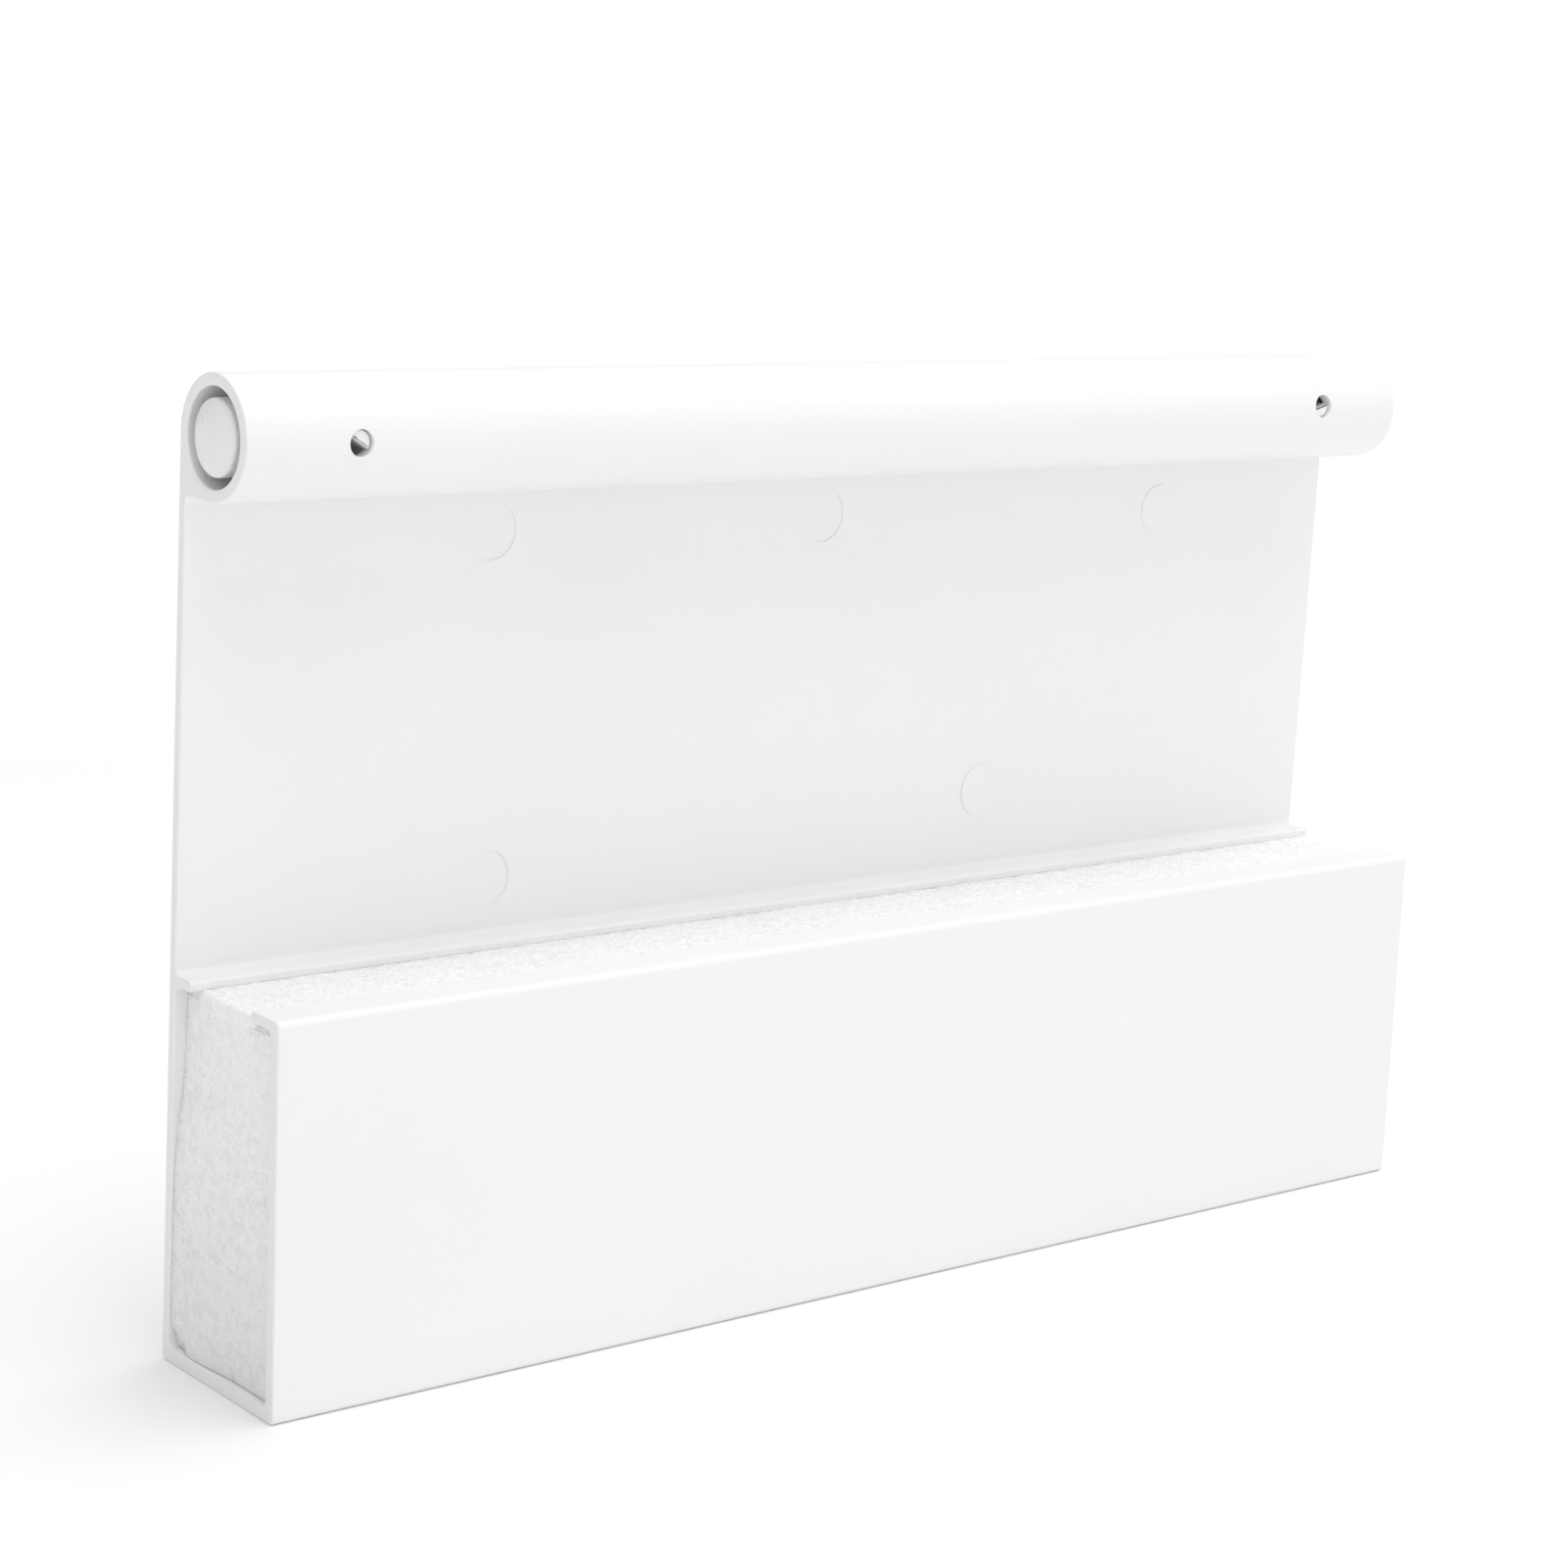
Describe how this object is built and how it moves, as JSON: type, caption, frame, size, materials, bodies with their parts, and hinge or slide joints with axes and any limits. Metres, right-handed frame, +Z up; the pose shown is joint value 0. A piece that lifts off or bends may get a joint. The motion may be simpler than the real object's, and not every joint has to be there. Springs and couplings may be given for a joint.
{
  "type": "pool skimmer float weir",
  "caption": "Flat hinged flap with a tube along its top edge, sprung domed pivot pins in the tube's ends and a foam-filled trough along the bottom.",
  "frame": {"origin": "centre of the box under the trough, on the surface the weir stands on", "axes": "+X along the hinge tube towards its right end, +Y from the trough's front to the flap's plain rear face, +Z up from the trough to the hinge tube"},
  "size_m": [0.2042, 0.0274, 0.1272],
  "materials": {
    "flap_plastic": "satin",
    "bead_foam": "matte",
    "pivot_plastic": "satin",
    "spring_steel": "satin"
  },
  "bodies": {
    "axle": {"axle_spacer": "pivot_plastic", "left_spring": "spring_steel", "right_spring": "spring_steel"},
    "flap": {"weir_flap": "flap_plastic", "foam_float": "bead_foam", "left_retaining_pin": "pivot_plastic", "right_retaining_pin": "pivot_plastic"},
    "left_pivot": {"left_plunger": "pivot_plastic"},
    "right_pivot": {"right_plunger": "pivot_plastic"}
  },
  "joints": [
    {"name": "weir_swing", "type": "hinge", "parent": "axle", "child": "flap", "pos_m": [0, 0.00575, 0.1193], "axis": [1, 0, 0], "range_deg": [-90, 90]},
    {"name": "left_plunger_slide", "type": "slide", "parent": "axle", "child": "left_pivot", "axis": [1, 0, 0], "range_m": [0, 0.005], "stiffness_N_per_m": 400, "springref_m": -0.0075, "deforming": ["left_spring"]},
    {"name": "right_plunger_slide", "type": "slide", "parent": "axle", "child": "right_pivot", "axis": [-1, 0, 0], "range_m": [0, 0.005], "stiffness_N_per_m": 400, "springref_m": -0.0075, "deforming": ["right_spring"]}
  ]
}
